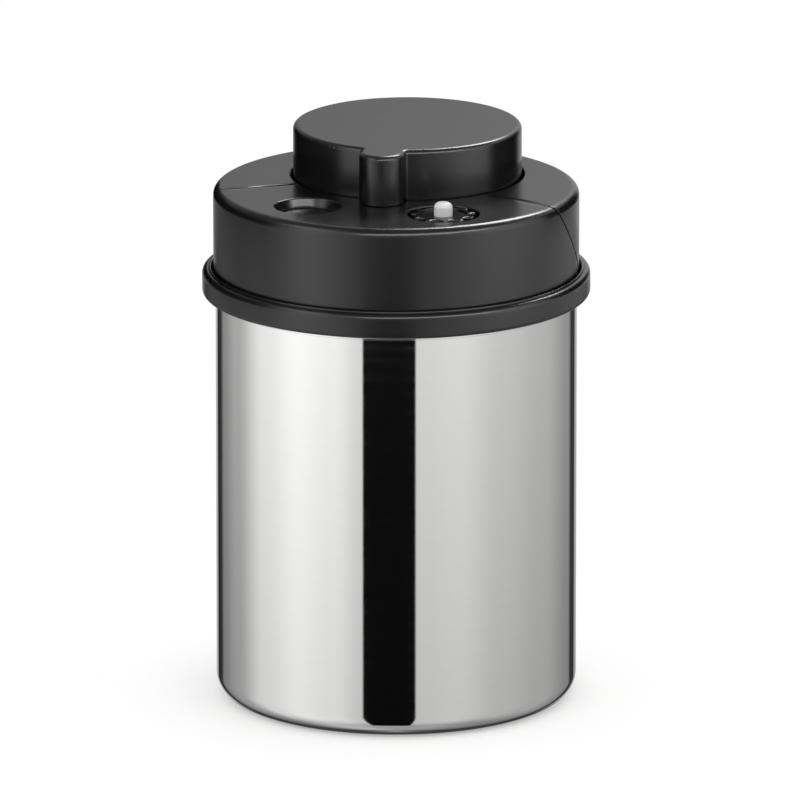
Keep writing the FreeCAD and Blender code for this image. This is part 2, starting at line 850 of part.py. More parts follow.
def main():
    os.makedirs("parts", exist_ok=True)
    front, rear = covers()
    pieces = {
        "steel_can": steel_can(),
        "lid_base": lid_base(),
        "main_gasket": main_gasket(),
        "front_cover": front,
        "rear_cover": rear,
        "cover_screws": cover_screws(),
        "rod_bush": rod_bush(),
        "pump_cylinder": pump_cylinder(),
        "cylinder_gasket": cylinder_gasket(),
        "cylinder_screws": cylinder_screws(),
        "inlet_valve": inlet_valve(),
        "pump_knob": pump_knob(),
        "piston_rod": piston_rod(),
        "rod_screws": rod_screws(),
        "piston": piston(),
        "piston_seal": piston_seal(),
        "piston_screw": piston_screw(),
        "release_button": release_button(),
        "release_spring": release_spring(),
        "release_plug": release_plug(),
        "release_clip": release_clip(),
        "indicator_pin": indicator_pin(),
        "indicator_nut": indicator_nut(),
        "indicator_diaphragm": indicator_diaphragm(),
        "indicator_spring": indicator_spring(),
    }
    for name, shape in pieces.items():
        print(name, len(shape.Solids), round(shape.Volume, 1), shape.isValid())
        shape.exportStep("parts/" + name + ".step")


main()
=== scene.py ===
# %% [markdown]
# # A vacuum seal canister, dressed for a studio shot
#
# The solid model of this canister comes from CAD: every piece is already the right size and in the right
# place. This script is the second half of the work. It lights the canister as a product photographer would,
# gives each piece the finish of its real material, and rebuilds the pieces that need a finer mesh or a softer
# edge than CAD hands over. The cells can be read from top to bottom, one idea at a time.

# %% Load the CAD frame
import math

import bmesh
import bpy
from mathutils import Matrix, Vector


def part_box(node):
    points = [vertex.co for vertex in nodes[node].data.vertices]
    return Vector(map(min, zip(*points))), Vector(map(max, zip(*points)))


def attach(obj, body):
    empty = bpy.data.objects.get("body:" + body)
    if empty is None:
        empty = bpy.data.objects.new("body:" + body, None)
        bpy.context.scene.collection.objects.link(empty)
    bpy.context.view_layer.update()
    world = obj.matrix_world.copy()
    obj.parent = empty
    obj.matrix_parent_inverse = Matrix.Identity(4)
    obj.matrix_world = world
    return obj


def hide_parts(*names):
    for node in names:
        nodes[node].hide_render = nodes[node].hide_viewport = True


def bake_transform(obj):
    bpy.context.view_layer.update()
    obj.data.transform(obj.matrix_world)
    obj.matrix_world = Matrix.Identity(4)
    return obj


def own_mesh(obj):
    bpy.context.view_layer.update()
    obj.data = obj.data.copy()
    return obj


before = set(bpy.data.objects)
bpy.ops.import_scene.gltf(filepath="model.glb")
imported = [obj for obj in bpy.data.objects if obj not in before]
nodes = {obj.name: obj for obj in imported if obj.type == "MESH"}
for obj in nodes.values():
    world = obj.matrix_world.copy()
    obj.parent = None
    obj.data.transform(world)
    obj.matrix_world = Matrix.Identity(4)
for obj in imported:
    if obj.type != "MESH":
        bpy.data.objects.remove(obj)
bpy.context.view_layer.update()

# %% [markdown]
# ## Helpers for materials
#
# Colours are easiest to read as the hex values of an image editor, but Blender's shaders work in linear
# light. One function converts them. A second small function adds a shader node, sets it up and links it, so
# that a whole material reads as a short list. Patterns are sized in millimetres, while Blender counts in
# metres.

# %% Colour and node helpers
def linear(hex_colour):
    """sRGB hex, such as "#d9d8d5", as the linear RGBA that a shader socket takes."""
    channels = [int(hex_colour[i : i + 2], 16) / 255 for i in (1, 3, 5)]
    light = [c / 12.92 if c <= 0.04045 else ((c + 0.055) / 1.055) ** 2.4 for c in channels]
    return (*light, 1.0)


def add(tree, kind, inputs=None, **settings):
    """Adds a node. Inputs are values or the sockets to link from, and settings are the node's own choices."""
    made = tree.nodes.new(kind)
    for name, value in settings.items():
        setattr(made, name, value)
    for name, value in (inputs or {}).items():
        if isinstance(value, bpy.types.NodeSocket):
            tree.links.new(value, made.inputs[name])
        else:
            made.inputs[name].default_value = value
    return made


def blank_material(name):
    """A material with an empty node tree."""
    material = bpy.data.materials.new(name)
    material.use_nodes = True
    material.node_tree.nodes.clear()
    return material, material.node_tree


MM = 0.001
print("white is", linear("#ffffff"), "mid grey is", linear("#808080"))

# %% [markdown]
# ## The camera
#
# The photograph was taken from a little to the right of the front and about fifteen degrees above level. The
# two top edges are nearly true ellipses, which says that the lens was long and far away, so the camera stands
# four and a half metres off with a lens to match. A long lens keeps the sides of the can parallel.

# %% Camera
CAMERA_AZIMUTH = math.radians(12.0)
CAMERA_RISE = math.radians(14.9)
CAMERA_DISTANCE = 4.5
SENSOR_WIDTH = 36.0
VIEW_END = 100.0
IMAGE_WIDTH = 800
PIXELS_PER_METRE = 3111.0
AIM_HEIGHT = 0.0969
AIM_RIGHT = 0.0012

to_camera = Vector((
    math.sin(CAMERA_AZIMUTH) * math.cos(CAMERA_RISE),
    -math.cos(CAMERA_AZIMUTH) * math.cos(CAMERA_RISE),
    math.sin(CAMERA_RISE),
))
to_right = Vector((math.cos(CAMERA_AZIMUTH), math.sin(CAMERA_AZIMUTH), 0.0))
aim = to_right * AIM_RIGHT + Vector((0.0, 0.0, AIM_HEIGHT))

camera_data = bpy.data.cameras.new("studio_camera")
camera_data.sensor_width = SENSOR_WIDTH
camera_data.lens = PIXELS_PER_METRE * CAMERA_DISTANCE / IMAGE_WIDTH * SENSOR_WIDTH
camera_data.clip_end = VIEW_END
camera = bpy.data.objects.new("studio_camera", camera_data)
camera.location = aim + to_camera * CAMERA_DISTANCE
camera.rotation_euler = to_camera.to_track_quat("Z", "Y").to_euler()
bpy.context.scene.collection.objects.link(camera)
bpy.context.scene.camera = camera
print("lens", round(camera_data.lens), "mm at", tuple(round(v, 3) for v in camera.location))

# %% [markdown]
# ## The floor
#
# A plain white floor carries only a narrow shadow. Seen by the camera it is a mix of white glow, as on an
# overexposed table, and of ordinary diffuse white that the shadow falls on. The glow takes over with
# distance, so the shadow keeps close to the can. The Light Path node tells rays that look at the floor from
# light that only bounces off it, so the glow adds no light to the canister. Polished metal looks straight
# through the floor to the tent, which is why the bright bands on the can run all the way down.

# %% Floor
FLOOR_RADIUS = 20.0
SHADOW_START = 0.056
SHADOW_END = 0.088
GLOW_NEAR = 0.30
GLOW_FAR = 0.95


def link_piece(name, shape):
    """A mesh object from a bmesh, linked to the scene."""
    mesh = bpy.data.meshes.new(name)
    shape.to_mesh(mesh)
    shape.free()
    piece = bpy.data.objects.new(name, mesh)
    bpy.context.scene.collection.objects.link(piece)
    return piece


def looked_at(tree):
    """1 for rays from the camera, a mirror or glass, and 0 for light that bounces."""
    path = add(tree, "ShaderNodeLightPath")
    total = path.outputs["Is Camera Ray"]
    for ray in ("Is Glossy Ray", "Is Transmission Ray"):
        total = add(tree, "ShaderNodeMath", {0: total, 1: path.outputs[ray]}, operation="ADD").outputs[0]
    return total


shape = bmesh.new()
bmesh.ops.create_circle(shape, cap_ends=True, segments=96, radius=FLOOR_RADIUS)
floor = link_piece("floor", shape)
floor.visible_glossy = False
floor.visible_shadow = False

floor_white, tree = blank_material("white_floor")
paint = add(tree, "ShaderNodeBsdfDiffuse", {"Color": linear("#fdfdfc")})
glow = add(tree, "ShaderNodeEmission", {"Color": linear("#ffffff"), "Strength": 1.0})
place = add(tree, "ShaderNodeTexCoord")
away = add(tree, "ShaderNodeVectorMath", {0: place.outputs["Object"]}, operation="LENGTH")
share = add(
    tree, "ShaderNodeMapRange",
    {
        "Value": away.outputs["Value"], "From Min": SHADOW_START, "From Max": SHADOW_END,
        "To Min": GLOW_NEAR, "To Max": GLOW_FAR,
    },
)
share = add(tree, "ShaderNodeMath", {0: looked_at(tree), 1: share.outputs[0]}, operation="MULTIPLY")
blend = add(tree, "ShaderNodeMixShader", {0: share.outputs[0], 1: paint.outputs[0], 2: glow.outputs[0]})
add(tree, "ShaderNodeOutputMaterial", {"Surface": blend.outputs[0]})
floor.data.materials.append(floor_white)
print("floor", FLOOR_RADIUS, "m in radius, shadow up to", SHADOW_END, "m from the middle")

# %% [markdown]
# ## The light tent
#
# A mirror finish has no look of its own: it shows the room. Photographers put such a can in a tent of white
# cloth, leave a dark slot for the lens, and hang narrow dark strips at the back to draw the can's edges. The
# tent here is a wall spun round the canister, with a foot that closes it far below. It stays where it is when
# the camera walks round, and only mirrors and gloss can see it.

# %% Tent wall
TENT_RADIUS = 1.2
TENT_TOP = 1.25
TENT_BOTTOM = -2.0

shape = bmesh.new()
foot_centre = shape.verts.new((0.0, 0.0, TENT_BOTTOM))
foot_rim = shape.verts.new((TENT_RADIUS, 0.0, TENT_BOTTOM))
top_rim = shape.verts.new((TENT_RADIUS, 0.0, TENT_TOP))
wall = [shape.edges.new((foot_centre, foot_rim)), shape.edges.new((foot_rim, top_rim))]
bmesh.ops.spin(
    shape, geom=[foot_centre, foot_rim, top_rim, *wall], cent=(0, 0, 0), axis=(0, 0, 1),
    angle=math.tau, steps=96, use_merge=True,
)
bmesh.ops.remove_doubles(shape, verts=shape.verts, dist=1e-5)
tent = link_piece("light_tent", shape)
tent.visible_camera = False
tent.visible_diffuse = False
tent.rotation_euler.z = CAMERA_AZIMUTH
print("tent faces", len(tent.data.polygons))

# %% [markdown]
# ## Two cloths, lit by direction
#
# Steel mirrors four fifths of what it sees and black plastic a twentieth, so one brightness can't suit both.
# The can, seen from a little above, mirrors the lower part of the wall, and the lid mirrors the part over it.
# So two cloths hang there, each a row of brightness by compass direction, which a colour ramp blends.

# %% Tent brightness
# a cloth is a row of (degrees from the lens, brightness): right is positive, and fully lit cloth is about 1
CAN_CLOTH = [
    (-180, 0.80), (-163, 0.60), (-157, 0.02), (-149, 0.05), (-142, 0.33), (-120, 0.55), (-90, 1.15),
    (-65, 1.38), (-40, 1.24), (-20, 0.95), (12, 0.92), (40, 0.98), (70, 0.78), (105, 0.64), (141, 0.38),
    (148, 0.05), (156, 0.05), (161, 0.50), (180, 0.80),
]
LID_CLOTH = [
    (-180, 0.50), (-165, 0.34), (-120, 0.14), (-85, 0.26), (-54, 1.75), (-25, 0.75), (0, 0.40),
    (20, 0.65), (66, 1.90), (105, 0.85), (140, 0.62), (165, 0.76), (180, 0.50),
]

cloth, tree = blank_material("tent_cloth")
place = add(tree, "ShaderNodeTexCoord")
parts = add(tree, "ShaderNodeSeparateXYZ", {0: place.outputs["Object"]})
ahead = add(tree, "ShaderNodeMath", {0: parts.outputs["Y"], 1: -1.0}, operation="MULTIPLY")
compass = add(tree, "ShaderNodeMath", {0: parts.outputs["X"], 1: ahead.outputs[0]}, operation="ARCTAN2")
turn = add(
    tree, "ShaderNodeMapRange",
    {"Value": compass.outputs[0], "From Min": -math.pi, "From Max": math.pi, "To Min": 0.0, "To Max": 1.0},
)
levels = []
for row in (CAN_CLOTH, LID_CLOTH):
    ramp = add(tree, "ShaderNodeValToRGB", {"Fac": turn.outputs[0]})
    ramp.color_ramp.interpolation = "EASE"
    stops = ramp.color_ramp.elements
    while len(stops) < len(row):
        stops.new(0.5)
    for stop, (degrees, level) in zip(stops, row):
        stop.position = (degrees + 180) / 360
        stop.color = (level, level, level, 1.0)
    levels.append(ramp.outputs["Color"])
can_level, lid_level = levels
print("cloth stops", len(CAN_CLOTH), "and", len(LID_CLOTH))

# %% [markdown]
# ## The slot for the lens
#
# The broad black band on the can is the gap in the cloth that the lens looks through, mirrored and squeezed
# by the curve. The gap is cut from the can's cloth with a soft edge of under a degree. The cloth also grows
# dimmer towards the foot, which the round lower corner of the can picks up as a darker line.

# %% The lens slot, and which cloth hangs where
CAN_SEES_BELOW = -0.150
LID_SEES_ABOVE = -0.143
SLOT_CENTRE = -4.4
SLOT_HALF = 16.4
SLOT_SOFT = 0.8
SLOT_GLOW = 0.006
LOW_CLOTH = -0.32
LOW_SHARE = 0.76
DUSK_START = -0.95
TENT_FOOT = -1.90
FOOT_SHARE = 0.60

height = parts.outputs["Z"]
aside = add(
    tree, "ShaderNodeMath",
    {0: compass.outputs[0], 1: math.radians(SLOT_CENTRE)}, operation="SUBTRACT",
)
aside = add(tree, "ShaderNodeMath", {0: aside.outputs[0]}, operation="ABSOLUTE")
gap = add(
    tree, "ShaderNodeMapRange",
    {
        "Value": aside.outputs[0],
        "From Min": math.radians(SLOT_HALF - SLOT_SOFT), "From Max": math.radians(SLOT_HALF + SLOT_SOFT),
        "To Min": SLOT_GLOW, "To Max": 1.0,
    },
    interpolation_type="SMOOTHSTEP",
)
fall = add(
    tree, "ShaderNodeMapRange",
    {"Value": height, "From Min": LOW_CLOTH, "From Max": LID_SEES_ABOVE, "To Min": LOW_SHARE, "To Max": 1.0},
)
dusk = add(
    tree, "ShaderNodeMapRange",
    {"Value": height, "From Min": TENT_FOOT, "From Max": DUSK_START, "To Min": FOOT_SHARE, "To Max": 1.0},
)
on_foot = add(tree, "ShaderNodeMath", {0: height, 1: TENT_FOOT}, operation="LESS_THAN")
gap = add(tree, "ShaderNodeMath", {0: gap.outputs[0], 1: on_foot.outputs[0]}, operation="MAXIMUM")
fall = add(tree, "ShaderNodeMath", {0: fall.outputs[0], 1: dusk.outputs[0]}, operation="MULTIPLY")
below = add(tree, "ShaderNodeMath", {0: gap.outputs[0], 1: fall.outputs[0]}, operation="MULTIPLY")
below = add(tree, "ShaderNodeMath", {0: can_level, 1: below.outputs[0]}, operation="MULTIPLY")
upper = add(
    tree, "ShaderNodeMapRange",
    {"Value": height, "From Min": CAN_SEES_BELOW, "From Max": LID_SEES_ABOVE},
    interpolation_type="SMOOTHSTEP",
)
level = add(tree, "ShaderNodeMix", {"Factor": upper.outputs[0], "A": below.outputs[0], "B": lid_level})
light = add(tree, "ShaderNodeEmission", {"Color": linear("#ffffff"), "Strength": level.outputs[0]})
add(tree, "ShaderNodeOutputMaterial", {"Surface": light.outputs[0]})
tent.data.materials.append(cloth)
print("slot", 2 * SLOT_HALF, "degrees wide")

# %% [markdown]
# ## Flags, ceiling and contact shadow
#
# Black plastic shows its shape by what it does not reflect. Two curved black cards hang close beside the
# knob, too high for the can and the skirt to see, and let both flanks of the knob fall off to black. A dim
# cloth closes the tent's top, so that the soft boxes below it draw clear lines along the rounded edges. A
# dark disc under the can stands for the shade there, since the metal sees through the floor: it draws the
# thin dark line at the can's foot.

# %% Black flags, dim ceiling and a dark disc
FLAG_RADIUS = 0.15
FLAG_LOW = 0.138
FLAG_HIGH = 0.22
CONTACT_RADIUS = 0.055
VELVET_GLOW = 0.0
SHADE_GLOW = 0.06
CEILING_GLOW = 0.25


def hang_flag(name, start, end):
    """A curved black card between two directions, in degrees from the lens."""
    turn = math.radians(start)
    way = Vector((math.sin(turn), -math.cos(turn), 0.0)) * FLAG_RADIUS
    shape = bmesh.new()
    low = shape.verts.new(way + Vector((0.0, 0.0, FLAG_LOW)))
    high = shape.verts.new(way + Vector((0.0, 0.0, FLAG_HIGH)))
    side = shape.edges.new((low, high))
    bmesh.ops.spin(
        shape, geom=[low, high, side], cent=(0, 0, 0), axis=(0, 0, 1),
        angle=math.radians(end - start), steps=12,
    )
    flag = link_piece(name, shape)
    flag.rotation_euler.z = CAMERA_AZIMUTH
    return flag


shape = bmesh.new()
bmesh.ops.create_circle(shape, cap_ends=True, segments=64, radius=TENT_RADIUS)
bmesh.ops.translate(shape, verts=shape.verts, vec=(0.0, 0.0, TENT_TOP))
ceiling = link_piece("tent_ceiling", shape)
shape = bmesh.new()
bmesh.ops.create_circle(shape, cap_ends=True, segments=96, radius=CONTACT_RADIUS)
contact = link_piece("contact_shadow", shape)
flags = [hang_flag("left_flag", -150, -70), hang_flag("right_flag", 88, 138)]
for name, strength, cards in (
    ("black_velvet", VELVET_GLOW, flags),
    ("shaded_floor", SHADE_GLOW, [contact]),
    ("grey_cloth", CEILING_GLOW, [ceiling]),
):
    card, tree = blank_material(name)
    light = add(tree, "ShaderNodeEmission", {"Color": linear("#ffffff"), "Strength": strength})
    add(tree, "ShaderNodeOutputMaterial", {"Surface": light.outputs[0]})
    for hung in cards:
        hung.data.materials.append(card)
        hung.visible_camera = False
        hung.visible_diffuse = False
        hung.visible_shadow = False
print("hung", [hung.name for hung in (*flags, contact, ceiling)])

# %% [markdown]
# ## World and lamps
#
# The camera sees plain white all round, while the light that falls on the canister comes from an even white
# room. Three soft boxes add only reflections. The key is wide and low, hangs over the lens and draws the
# bright line along the front edges. A small strong one behind does the same for the edges at the back right,
# and a weak one at the left keeps that side from closing up.

# %% World and soft boxes
ROOM_LIGHT = 1.08
LAMP_AIM = Vector((0.0, 0.0, 0.16))
LAMP_DISTANCE = 1.1

world = bpy.data.worlds.new("white_room")
world.use_nodes = True
tree = world.node_tree
tree.nodes.clear()
white = add(tree, "ShaderNodeBackground", {"Color": linear("#ffffff"), "Strength": 1.0})
room = add(tree, "ShaderNodeBackground", {"Color": linear("#ffffff"), "Strength": ROOM_LIGHT})
choice = add(tree, "ShaderNodeMixShader", {0: looked_at(tree), 1: room.outputs[0], 2: white.outputs[0]})
add(tree, "ShaderNodeOutputWorld", {"Surface": choice.outputs[0]})
bpy.context.scene.world = world


def soft_box(name, azimuth, rise, size, radiance):
    """A lamp that faces the lid, (width, height) in size, set by the brightness of its surface."""
    lamp = bpy.data.lights.new(name, "AREA")
    lamp.shape = "RECTANGLE"
    lamp.size, lamp.size_y = size
    lamp.energy = radiance * math.pi * size[0] * size[1]
    turn, lift = CAMERA_AZIMUTH + math.radians(azimuth), math.radians(rise)
    way = Vector((math.sin(turn) * math.cos(lift), -math.cos(turn) * math.cos(lift), math.sin(lift)))
    box = bpy.data.objects.new(name, lamp)
    box.location = LAMP_AIM + way * LAMP_DISTANCE
    box.rotation_euler = way.to_track_quat("Z", "Y").to_euler()
    box.visible_diffuse = False
    bpy.context.scene.collection.objects.link(box)
    return box


boxes = [
    soft_box("key_box", azimuth=20, rise=37, size=(1.90, 0.28), radiance=6.0),
    soft_box("back_box", azimuth=158, rise=46, size=(0.50, 0.40), radiance=12.0),
    soft_box("fill_box", azimuth=-70, rise=45, size=(0.50, 0.50), radiance=1.5),
]
bpy.context.scene.view_settings.view_transform = "Standard"
print("lamps", [box.name for box in boxes])

# %% [markdown]
# ## Stainless steel, polished outside and brushed inside
#
# The can is 18/8 stainless sheet, deep drawn and then polished on a wheel. The wheel leaves a mirror with a
# slight ripple: seen along the black slot's edge, the reflection trembles by about a millimetre. The ripple
# comes from a shallow bump, stretched round the can because the can turned against the wheel. Nobody polishes
# the inside, which keeps the fine rings of an abrasive brush. Both finishes are the same network with other
# sizes, so one function makes them. A metal keeps the default IOR.

# %% Two steels
# most values of a noise texture lie between these two
NOISE_LOW = 0.3
NOISE_HIGH = 0.7


def ringed_steel(name, ring_tall, ring_long, depth, gloss_range):
    """Stainless steel with marks that run round the can, each so tall and so long."""
    material, tree = blank_material(name)
    place = add(tree, "ShaderNodeTexCoord")
    stretch = add(
        tree, "ShaderNodeMapping",
        {"Vector": place.outputs["Object"], "Scale": (1 / ring_long, 1 / ring_long, 1 / ring_tall)},
    )
    marks = add(
        tree, "ShaderNodeTexNoise",
        {"Vector": stretch.outputs[0], "Scale": 1.0, "Detail": 3.0, "Roughness": 0.55},
    )
    bump = add(tree, "ShaderNodeBump", {"Height": marks.outputs[0], "Strength": 1.0, "Distance": depth})
    gloss = add(
        tree, "ShaderNodeMapRange",
        {
            "Value": marks.outputs[0], "From Min": NOISE_LOW, "From Max": NOISE_HIGH,
            "To Min": gloss_range[0], "To Max": gloss_range[1],
        },
    )
    steel = add(
        tree, "ShaderNodeBsdfPrincipled",
        {
            "Base Color": linear("#dddddc"), "Metallic": 1.0, "Roughness": gloss.outputs[0],
            "Normal": bump.outputs[0],
        },
    )
    add(tree, "ShaderNodeOutputMaterial", {"Surface": steel.outputs[0]})
    return material


# polishing wheel: soft ripples of a few millimetres on a mirror
polished = ringed_steel("polished_stainless_steel", 2.5 * MM, 18 * MM, 0.008 * MM, (0.030, 0.055))
# abrasive brush: rings about a tenth of a millimetre wide, drawn at half a millimetre so that they show
brushed = ringed_steel("brushed_stainless_steel", 0.5 * MM, 60 * MM, 0.004 * MM, (0.26, 0.34))
print(polished.name, "and", brushed.name)

# %% [markdown]
# ## Turning round pieces
#
# Most of the pieces are round, and a lathe is the natural way to make them. Half of the section is drawn as a
# few points, its corners are rounded with a vertex bevel, and one full spin makes the skin. Weighted normals
# keep the large faces' shading true right up to the small rounds.

# %% Lathe helpers
# points closer than a micrometre are one
MERGE = 1e-6


def draw_profile(shape, points, rounds, closed=False):
    """A wire through (radius, height) points; rounds gives (offset, segments) for the corners to round."""
    corners = [shape.verts.new((radius, 0.0, height)) for radius, height in points]
    following = corners[1:] + corners[:1] if closed else corners[1:]
    for pair in zip(corners, following):
        shape.edges.new(pair)
    for index, (offset, segments) in rounds.items():
        bmesh.ops.bevel(
            shape, geom=[corners[index]], offset=offset, segments=segments, profile=0.5,
            affect="VERTICES", material=-1,
        )


def spin_full(shape, steps):
    """Turns the wire about the Z axis, and closes seam and poles."""
    bmesh.ops.spin(
        shape, geom=[*shape.verts, *shape.edges], cent=(0, 0, 0), axis=(0, 0, 1), angle=math.tau,
        steps=steps, use_merge=True,
    )
    bmesh.ops.remove_doubles(shape, verts=shape.verts, dist=MERGE)
    bmesh.ops.dissolve_degenerate(shape, edges=shape.edges, dist=MERGE / 10)
    bmesh.ops.recalc_face_normals(shape, faces=shape.faces)


def smooth_piece(piece, angle=35.0):
    """Smooth shading with sharp edges kept, weighted towards the large faces."""
    piece.data.shade_smooth()
    piece.data.set_sharp_from_angle(angle=math.radians(angle))
    weighted = piece.modifiers.new("weighted", "WEIGHTED_NORMAL")
    weighted.keep_sharp = True


def stand_in(piece, node, body, slot, *materials):
    """Dresses a piece, lets it ride on its body, and puts it in the place of a CAD node."""
    for material in materials:
        piece.data.materials.append(material)
    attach(piece, body)
    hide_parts(node)
    print(piece.name, "has", len(piece.data.polygons), "faces")


print("lathe ready")

# %% [markdown]
# ## The can
#
# CAD hands over the can as triangles about four degrees wide, which is plenty for a check and too coarse for
# a mirror, so it is turned again with 256 steps. The lip is a narrow hem, just visible under the lid's rim.
# The drawing die leaves an easy round at the lower corner, and the base is pressed in so that the can stands
# on a ring. Faces that look inwards get the brushed steel.

# %% Spun can
CAN_RADIUS = 58.0 * MM
CAN_WALL = 0.7 * MM
CAN_CORNER = 7.2 * MM
CAN_HEIGHT = 132.8 * MM
HEM_ROUND = 0.5 * MM
HEM_SPARE = 0.01 * MM
HEM_FOOT = 0.1 * MM
RING_INNER = 45.5 * MM
BASE_RISE = 1.6 * MM
BASE_ROUND = 0.6 * MM

inner = CAN_RADIUS - CAN_WALL
hem_out = inner + 2 * HEM_ROUND
hem_low = CAN_HEIGHT - 2 * HEM_ROUND
half_hem = (HEM_ROUND - HEM_SPARE, 10)
hem_foot = (HEM_FOOT, 3)
base_bend = (BASE_ROUND, 3)
shape = bmesh.new()
draw_profile(
    shape,
    [
        (0.0, BASE_RISE), (RING_INNER - BASE_RISE, BASE_RISE), (RING_INNER, 0.0), (CAN_RADIUS, 0.0),
        (CAN_RADIUS, hem_low), (hem_out, hem_low), (hem_out, CAN_HEIGHT), (inner, CAN_HEIGHT),
        (inner, CAN_WALL), (RING_INNER, CAN_WALL), (RING_INNER - BASE_RISE, BASE_RISE + CAN_WALL),
        (0.0, BASE_RISE + CAN_WALL),
    ],
    {
        1: base_bend, 2: base_bend, 3: (CAN_CORNER, 14), 4: hem_foot, 5: hem_foot,
        6: half_hem, 7: half_hem, 8: (CAN_CORNER - CAN_WALL, 10), 9: base_bend, 10: base_bend,
    },
)
spin_full(shape, 256)
for face in shape.faces:
    middle = face.calc_center_median()
    outward = face.normal.dot(Vector((middle.x, middle.y, 0.0)))
    floor_inside = face.normal.z > 0.5 and middle.z < CAN_CORNER
    face.material_index = 1 if outward < -1e-6 or floor_inside else 0
can = link_piece("can_shell", shape)
smooth_piece(can)
stand_in(can, "steel_can", "can", "polished_steel", polished, brushed)

# %% [markdown]
# ## Moulded plastics and silicone
#
# Lid, covers and knob are ABS from a mould with a fine spark-eroded skin. The skin blurs reflections without
# hiding them: seen flat on, the plastic is nearly black, and along the grazing top it mirrors the pale room
# as grey. A moulding's gloss also drifts a little where the melt flowed, over a centimetre or so. The other
# plastics and the silicone differ in colour, gloss and grain, so one function makes them all. Grains of a
# fifth of a millimetre and less are drawn about twice as coarse, so that they can be seen.

# %% Moulded plastics
FLOW_WIDTH = 14 * MM


def moulded(name, colour, roughness, spread, grain, depth, ior=1.5):
    """A moulded plastic: one colour, a grain of this size, and a gloss that varies a little over the part."""
    material, tree = blank_material(name)
    place = add(tree, "ShaderNodeTexCoord")
    skin = add(
        tree, "ShaderNodeTexNoise",
        {"Vector": place.outputs["Object"], "Scale": 1 / grain, "Detail": 2.0, "Roughness": 0.6},
    )
    flow = add(
        tree, "ShaderNodeTexNoise",
        {"Vector": place.outputs["Object"], "Scale": 1 / FLOW_WIDTH, "Detail": 3.0, "Roughness": 0.5},
    )
    gloss = add(
        tree, "ShaderNodeMapRange",
        {
            "Value": flow.outputs[0], "From Min": NOISE_LOW, "From Max": NOISE_HIGH,
            "To Min": roughness - spread, "To Max": roughness + spread,
        },
    )
    bump = add(tree, "ShaderNodeBump", {"Height": skin.outputs[0], "Strength": 1.0, "Distance": depth})
    plastic = add(
        tree, "ShaderNodeBsdfPrincipled",
        {
            "Base Color": linear(colour), "Roughness": gloss.outputs[0], "IOR": ior,
            "Normal": bump.outputs[0],
        },
    )
    add(tree, "ShaderNodeOutputMaterial", {"Surface": plastic.outputs[0]})
    return material


# spark-eroded mould: a fine even grain, black seen flat on and a soft grey sheen at a graze
satin_black = moulded("satin_black_abs", "#101011", 0.25, 0.02, 0.45 * MM, 0.003 * MM, ior=1.52)
# polished mould: hardly any grain, so every edge carries a sharp glint
gloss_black = moulded("gloss_black_acetal", "#141415", 0.09, 0.02, 0.6 * MM, 0.003 * MM)
# smooth mould: an even white with a soft, wide highlight
white_abs = moulded("white_abs", "#dcdcd9", 0.34, 0.03, 0.4 * MM, 0.004 * MM)
# moulded without pigment: milky and a little waxy
natural_acetal = moulded("natural_acetal", "#e0ded6", 0.42, 0.03, 0.5 * MM, 0.004 * MM)
# pressed in a blasted mould: pale and dull, with the low IOR of silicone
silicone = moulded("translucent_silicone", "#cfcfca", 0.50, 0.04, 0.4 * MM, 0.004 * MM, ior=1.41)
plastics = (satin_black, gloss_black, white_abs, natural_acetal, silicone)
print("plastics", [plastic.name for plastic in plastics])

# %% [markdown]
# ## Zinc on the hardware
#
# Screws, springs and the clip tumble in a barrel while a thin layer of zinc is plated on. The layer is a grey
# metal whose gloss is patchy, and that patchiness is all that it needs: a noise on the roughness, with spots
# of under a millimetre.

# %% Plain steel hardware
PLATING_SPOT = 0.8 * MM
PLATING_GLOSS = (0.24, 0.40)

# barrel plated: light grey, with a gloss that changes from spot to spot
hardware, tree = blank_material("zinc_plated_steel")
place = add(tree, "ShaderNodeTexCoord")
plating = add(
    tree, "ShaderNodeTexNoise",
    {"Vector": place.outputs["Object"], "Scale": 1 / PLATING_SPOT, "Detail": 3.0, "Roughness": 0.6},
)
gloss = add(
    tree, "ShaderNodeMapRange",
    {
        "Value": plating.outputs[0], "From Min": NOISE_LOW, "From Max": NOISE_HIGH,
        "To Min": PLATING_GLOSS[0], "To Max": PLATING_GLOSS[1],
    },
)
zinc = add(
    tree, "ShaderNodeBsdfPrincipled",
    {"Base Color": linear("#b9bab8"), "Metallic": 1.0, "Roughness": gloss.outputs[0]},
)
add(tree, "ShaderNodeOutputMaterial", {"Surface": zinc.outputs[0]})
print(hardware.name, "with a roughness of", PLATING_GLOSS)

# %% [markdown]
# ## The lid's rim
#
# In CAD the rim's raised edge has sharp corners, and a sharp corner catches no light. On the moulded part
# they are rounded by about half a millimetre, which shows as two bright lines. The rim is cut off a merged
# copy of the CAD mesh and turned again with those rounds. Two bridges join it to the deck and to the
# underside, so everything else on the lid base stays what CAD made.

# %% Lid base with a rounded rim
RIDGE_INNER = 59.25 * MM
RIDGE_OUTER = 60.25 * MM
RIDGE_STEP = 0.5 * MM
RIDGE_ROUND = 0.45 * MM
RIDGE_FOOT = 0.12 * MM
RIM_RADIUS = 62.25 * MM
RIM_TOP = 141.7 * MM
RIM_FOOT = 133.1 * MM
RIM_ROUND = 1.8 * MM
FOOT_ROUND = 1.4 * MM
DECK_TOP = 135.5 * MM
JOIN = 0.1 * MM


def merged(node):
    """A closed copy of a CAD node's mesh; the node itself stays as it is."""
    shape = bmesh.new()
    shape.from_mesh(nodes[node].data)
    bmesh.ops.remove_doubles(shape, verts=shape.verts, dist=MERGE)
    return shape


shape = merged("lid_base")
old_rim = [face for face in shape.faces if all(v.co.xy.length > RIDGE_INNER - JOIN for v in face.verts)]
bmesh.ops.delete(shape, geom=old_rim, context="FACES")

